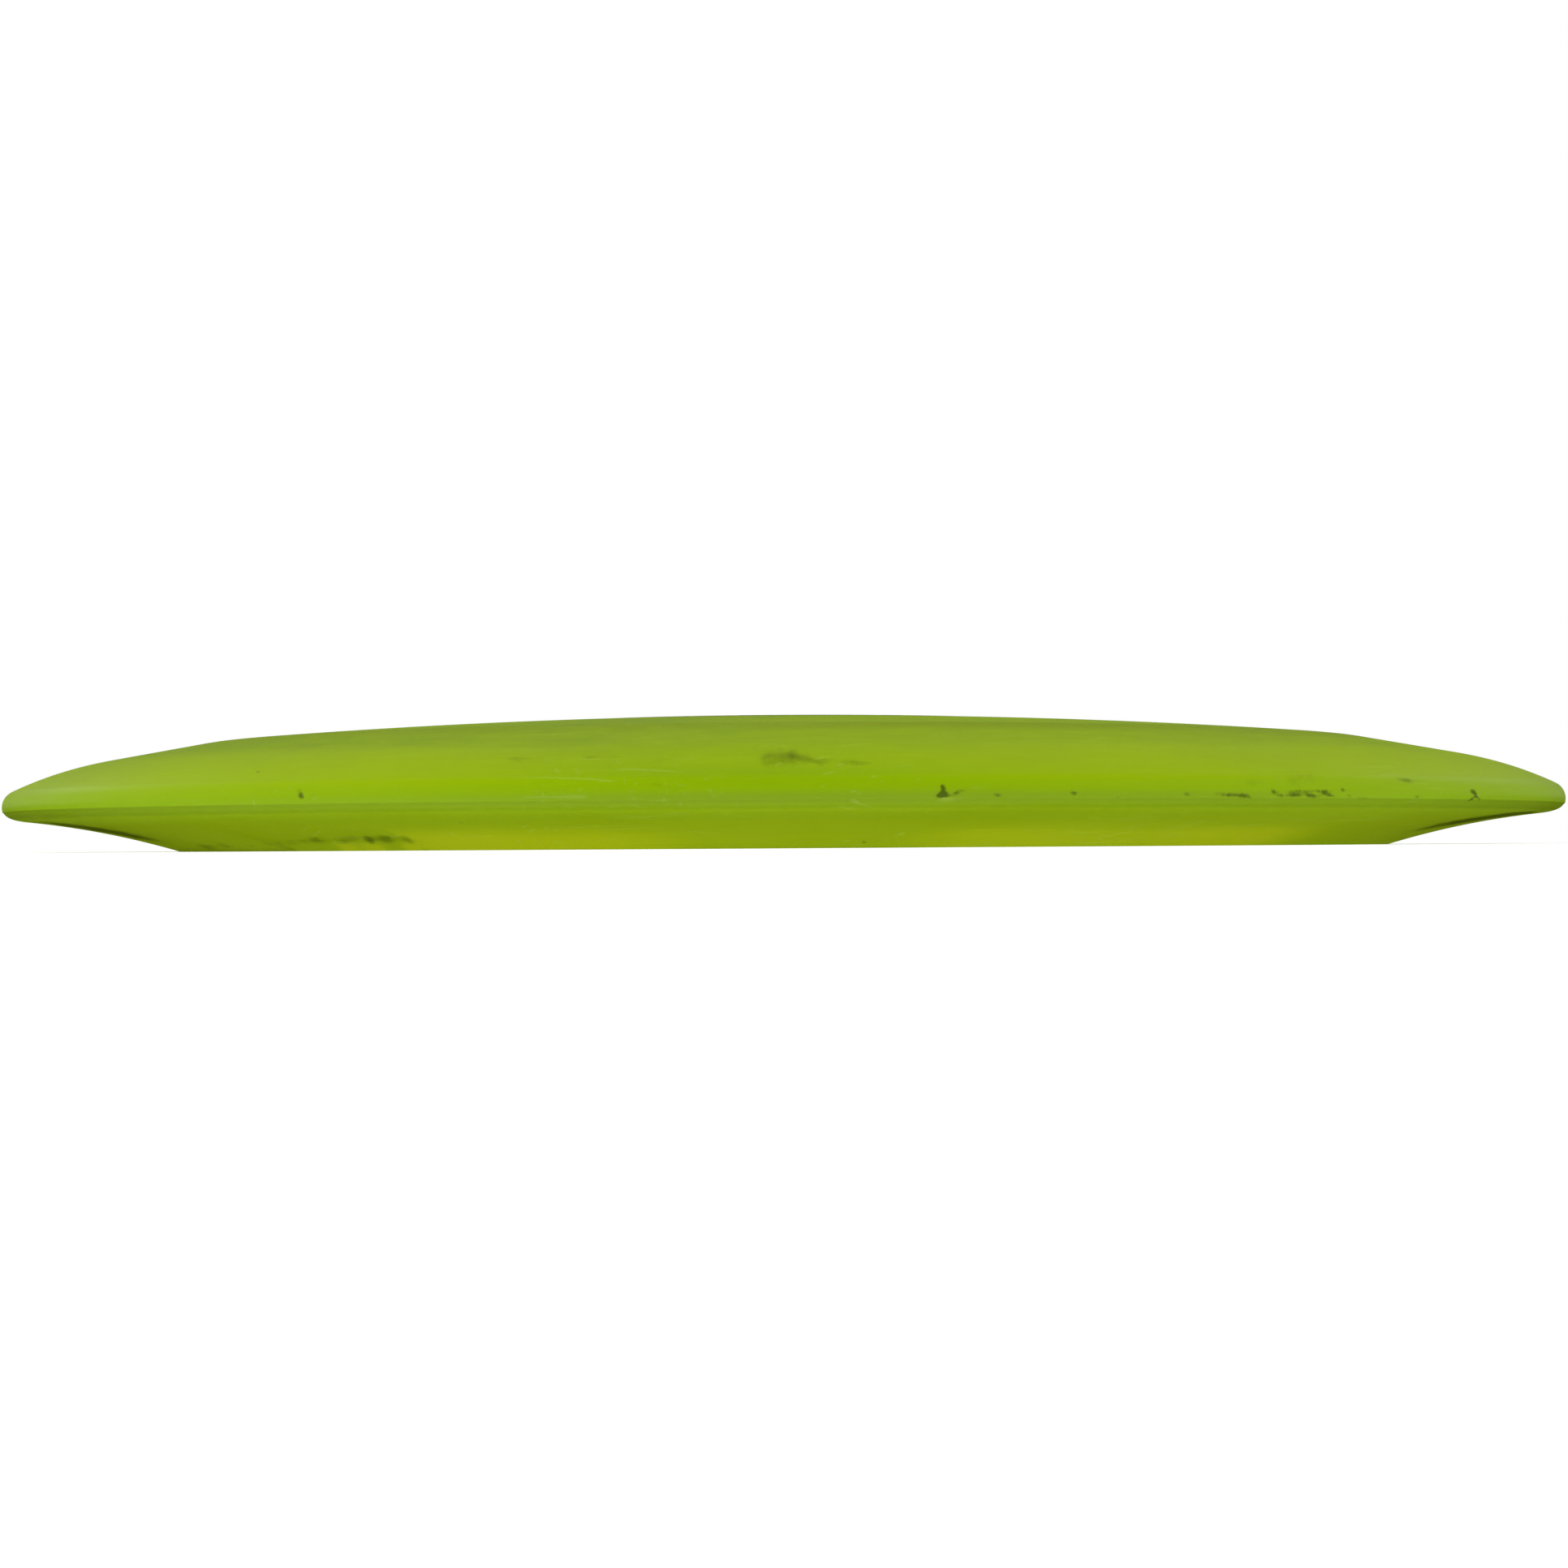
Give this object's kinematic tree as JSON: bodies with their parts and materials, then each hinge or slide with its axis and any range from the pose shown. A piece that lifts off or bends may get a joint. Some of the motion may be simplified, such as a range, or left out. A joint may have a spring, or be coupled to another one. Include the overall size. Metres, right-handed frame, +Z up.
{
  "type": "flying disc",
  "caption": "Round flying disc with a shallow domed plate, a wide solid rim that tapers to a blunt nose, and a hollow underside, for throwing at a target.",
  "frame": {"origin": "on the disc's axis, in the plane of the foot that it rests on", "axes": "+Z up along the disc's axis, from the foot to the crown; +X and +Y are any two directions across it"},
  "size_m": [0.211, 0.211, 0.0177],
  "materials": {
    "disc_plastic": "satin-gloss moulded elastomer, lightly translucent, used, with fine scratches",
    "foil": "dark metallic hot-stamp foil, partly worn off"
  },
  "bodies": {
    "root": {"flight_plate": "disc_plastic", "rim": "disc_plastic", "stamp_foil": "foil"}
  },
  "joints": []
}
